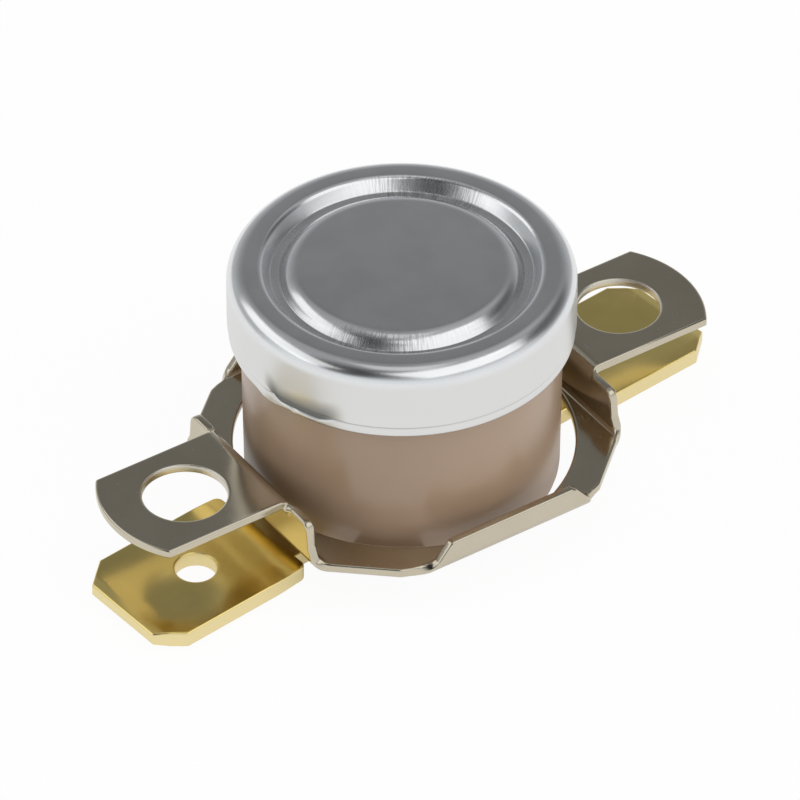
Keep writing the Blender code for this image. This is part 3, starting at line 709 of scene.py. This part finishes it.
AZIMUTH, ELEVATION, DISTANCE = math.radians(-40.206), math.radians(39.406), 0.45
RIGHT = Vector((math.cos(AZIMUTH), math.sin(AZIMUTH), 0))
NEAR = Vector((math.sin(AZIMUTH), -math.cos(AZIMUTH), 0))


def make_floor():
    """A white floor: what looks at it sees it lifted towards white, and it keeps a soft shadow."""
    bm = bmesh.new()
    bmesh.ops.create_grid(bm, x_segments=1, y_segments=1, size=3000)
    material = bpy.data.materials.new("floor")
    material.use_nodes = True
    tree = material.node_tree
    shader = tree.nodes["Principled BSDF"]
    shader.inputs["Base Color"].default_value = (0.92, 0.92, 0.92, 1)
    shader.inputs["Roughness"].default_value = 0.9
    shader.inputs["Specular IOR Level"].default_value = 0.0
    path = add(tree, "LightPath")
    seen = math_node(tree, "MAXIMUM", path.outputs["Is Camera Ray"], path.outputs["Is Transmission Ray"])
    place = add(tree, "TexCoord").outputs["Object"]
    away = add(tree, "VectorMath", operation="LENGTH", _0=place).outputs["Value"]
    # Under the object the mirrored floor is darker, a painted contact shadow, so metal doesn't mirror a
    # bright floor there
    share = ramp(tree, away, 0.006, 0.0125, 0.25, 0.78)
    glossy = math_node(tree, "MULTIPLY", path.outputs["Is Glossy Ray"], share)
    lift = math_node(tree, "MAXIMUM", math_node(tree, "MULTIPLY", seen, 0.95), glossy)
    white = add(tree, "Emission", Strength=1.0)
    both = add(tree, "MixShader", _0=lift, _1=shader.outputs[0], _2=white.outputs[0])
    output = tree.nodes["Material Output"]
    tree.links.new(both.outputs[0], output.inputs["Surface"])
    floor = piece_of("floor", bm, material)
    floor.location.z = -0.00005


def towards(azimuth, elevation):
    """The direction at an azimuth as the camera sees it: 0 is nearest, 90 is to the right."""
    turn, rise = math.radians(azimuth), math.radians(elevation)
    return (RIGHT * math.sin(turn) + NEAR * math.cos(turn)) * math.cos(rise) + Vector((0, 0, math.sin(rise)))


def softbox(name, azimuth, elevation, distance, width, height, radiance):
    """A rectangular lamp that looks at the object."""
    lamp = bpy.data.lights.new(name, "AREA")
    lamp.shape, lamp.size, lamp.size_y = "RECTANGLE", width, height
    lamp.energy = radiance * math.pi * width * height
    holder = bpy.data.objects.new(name, lamp)
    place = towards(azimuth, elevation) * distance
    holder.location = place
    holder.rotation_euler = place.to_track_quat("Z", "Y").to_euler()
    scene.collection.objects.link(holder)
    return holder


def make_world():
    """A grey room that is paler near the floor, most of all on the near side.

    Two corners are darker, and two parts of the ceiling are paler.
    """
    world = bpy.data.worlds.new("studio")
    scene.world = world
    world.use_nodes = True
    tree = world.node_tree
    way = add(tree, "TexCoord").outputs["Generated"]
    rise = add(tree, "SeparateXYZ", _0=way).outputs[2]
    level = ramp(tree, rise, 0.1, 0.75, 0.50, 0.19)
    near = add(tree, "VectorMath", operation="DOT_PRODUCT", _0=way, _1=tuple(NEAR)).outputs["Value"]
    low = ramp(tree, rise, 0.2, 0.62, 0.42, 0.0)
    level = math_node(tree, "ADD", level, math_node(tree, "MULTIPLY", ramp(tree, near, -0.25, 0.4), low))
    spots = ((112, 30, 0.4), (-40, 42, 0.15), (126, 61, 2.2), (-122, 57, 2.0))
    for azimuth, elevation, factor in spots:
        toward = tuple(towards(azimuth, elevation))
        share = add(tree, "VectorMath", operation="DOT_PRODUCT", _0=way, _1=toward).outputs["Value"]
        level = math_node(tree, "MULTIPLY", level, ramp(tree, share, 0.88, 0.98, 1.0, factor))
    tree.links.new(level, tree.nodes["Background"].inputs[1])
    tree.nodes["Background"].inputs[0].default_value = (0.98, 1.0, 1.03, 1)


def make_light():
    """Two boxes and a small one above that metal mirrors, and three fills that it doesn't."""
    softbox("right box", 48, 52, 0.45, 0.54, 0.34, 0.98)
    softbox("left box", -88, 38, 0.45, 0.56, 0.24, 0.85)
    softbox("left fill", -75, 15, 0.45, 0.4, 0.3, 0.6).visible_glossy = False
    softbox("right fill", 72, 18, 0.45, 0.5, 0.4, 1.1).visible_glossy = False
    softbox("top fill", 0, 80, 0.55, 0.6, 0.6, 0.8).visible_glossy = False
    softbox("top box", 0, 88, 0.55, 0.22, 0.22, 0.5)


def make_camera():
    data = bpy.data.cameras.new("camera")
    camera = bpy.data.objects.new("camera", data)
    scene.collection.objects.link(camera)
    back = NEAR * math.cos(ELEVATION) + Vector((0, 0, math.sin(ELEVATION)))
    up = back.cross(RIGHT)
    pose = Matrix((RIGHT, up, back)).transposed().to_4x4()
    target = Vector((0, 0, 0.0054)) - RIGHT * 0.000086 - up * 0.000599
    pose.translation = back * DISTANCE + target
    camera.matrix_world = pose
    data.sensor_width, data.lens = 36, 446.7
    data.clip_start, data.clip_end = 0.01, 20
    scene.camera = camera


make_pieces()
make_floor()
make_light()
make_world()
make_camera()
scene.view_settings.view_transform = "Standard"
